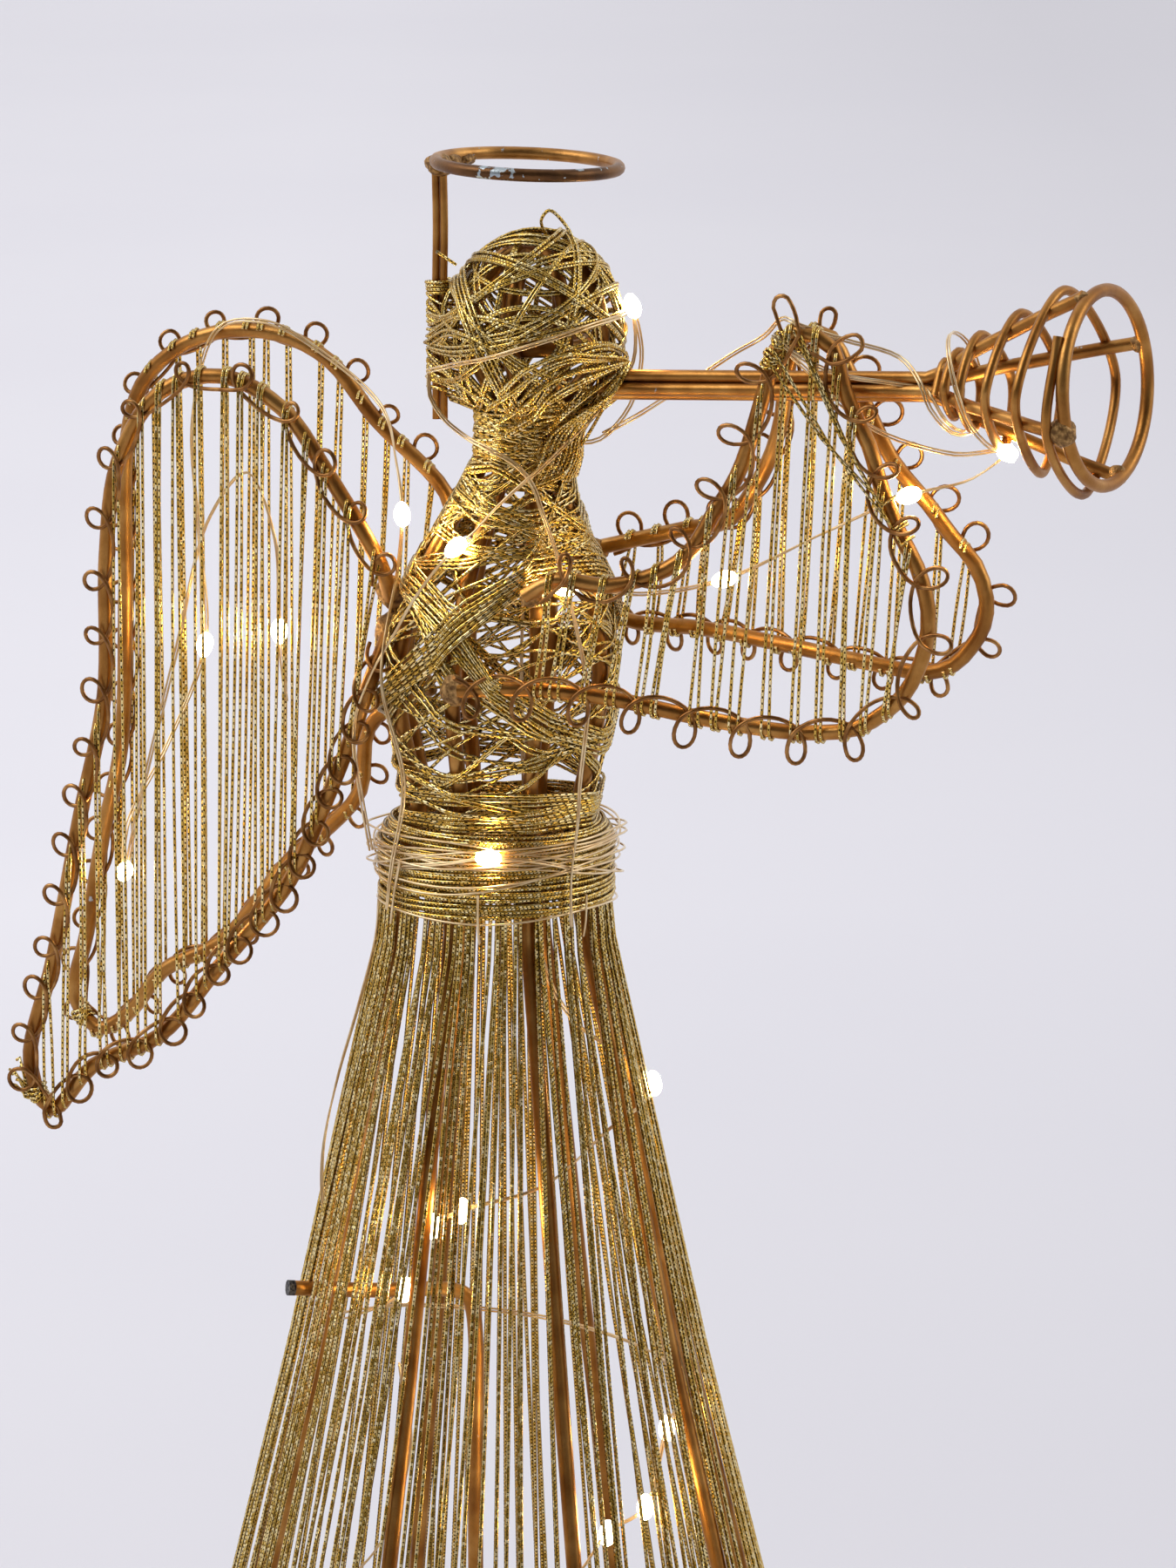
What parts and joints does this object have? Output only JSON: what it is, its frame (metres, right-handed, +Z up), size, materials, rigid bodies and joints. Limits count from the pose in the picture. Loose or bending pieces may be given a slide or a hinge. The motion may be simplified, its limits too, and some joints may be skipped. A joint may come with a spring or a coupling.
{
  "type": "tree topper",
  "caption": "Wire-frame angel tree topper blowing a trumpet, wound and strung with metallic thread, with a halo, wings, a battery light string and a bracket for the tree.",
  "frame": {"origin": "on the surface that the hem ring stands on, under the middle of the whole topper's bounding box", "axes": "+Z up the figure; the angel faces -Y with her right hand on the -X side"},
  "size_m": [0.1234, 0.181, 0.3061],
  "materials": {
    "painted_wire": "copper-gold metallic paint, satin",
    "eyelet_wire": "dark copper, satin",
    "metallic_thread": "pale gold metallic braid",
    "light_wire": "clear lacquer over thin wire",
    "case_plastic": "fine moulded texture",
    "switch_plastic": "satin",
    "cell_case": "gloss sleeve",
    "contact_plate": "nickel plate"
  },
  "bodies": {
    "figure": {"hem_ring": "painted_wire", "upright_wire_1": "painted_wire", "upright_wire_2": "painted_wire", "upright_wire_3": "painted_wire", "upright_wire_4": "painted_wire", "upright_wire_5": "painted_wire", "upright_wire_6": "painted_wire", "upright_wire_7": "painted_wire", "upright_wire_8": "painted_wire", "waist_ring": "painted_wire", "neck_ring": "painted_wire", "head_hoop": "painted_wire", "head_arc_near": "painted_wire", "head_arc_far": "painted_wire", "head_ring": "painted_wire", "halo_ring": "painted_wire", "halo_post_front": "painted_wire", "halo_post_back": "painted_wire", "tree_bracket": "painted_wire", "trumpet_wire_1": "painted_wire", "trumpet_wire_2": "painted_wire", "trumpet_wire_3": "painted_wire", "trumpet_wire_4": "painted_wire", "bell_ring": "painted_wire", "bell_spiral": "painted_wire", "near_wing_frame": "painted_wire", "far_wing_frame": "painted_wire", "near_sleeve_frame": "painted_wire", "far_sleeve_frame": "painted_wire", "near_wing_eyelets": "eyelet_wire", "far_wing_eyelets": "eyelet_wire", "near_sleeve_eyelets": "eyelet_wire", "far_sleeve_eyelets": "eyelet_wire", "head_wrap": "metallic_thread", "torso_wrap": "metallic_thread", "waist_wrap": "metallic_thread", "skirt_thread_1": "metallic_thread", "skirt_thread_2": "metallic_thread", "skirt_thread_3": "metallic_thread", "skirt_thread_4": "metallic_thread", "skirt_thread_5": "metallic_thread", "skirt_thread_6": "metallic_thread", "skirt_thread_7": "metallic_thread", "skirt_thread_8": "metallic_thread", "near_wing_thread": "metallic_thread", "far_wing_thread": "metallic_thread", "near_sleeve_thread": "metallic_thread", "far_sleeve_thread": "metallic_thread", "light_string_skirt": "light_wire", "light_string_figure": "light_wire", "light_string_wings": "light_wire", "battery_case": "case_plastic", "battery_cell_1": "cell_case", "battery_cell_2": "cell_case", "contact_bottom": "contact_plate", "contact_top": "contact_plate"},
    "battery_cover": {"battery_cover": "case_plastic"},
    "switch_slider": {"switch_slider": "switch_plastic"}
  },
  "joints": [
    {"name": "cover_slide", "type": "slide", "parent": "figure", "child": "battery_cover", "axis": [-0.0251, -0.2386, 0.9708], "range_m": [0, 0.03]},
    {"name": "switch_slide", "type": "slide", "parent": "figure", "child": "switch_slider", "axis": [-0.0251, -0.2386, 0.9708], "range_m": [0, 0.003]}
  ]
}
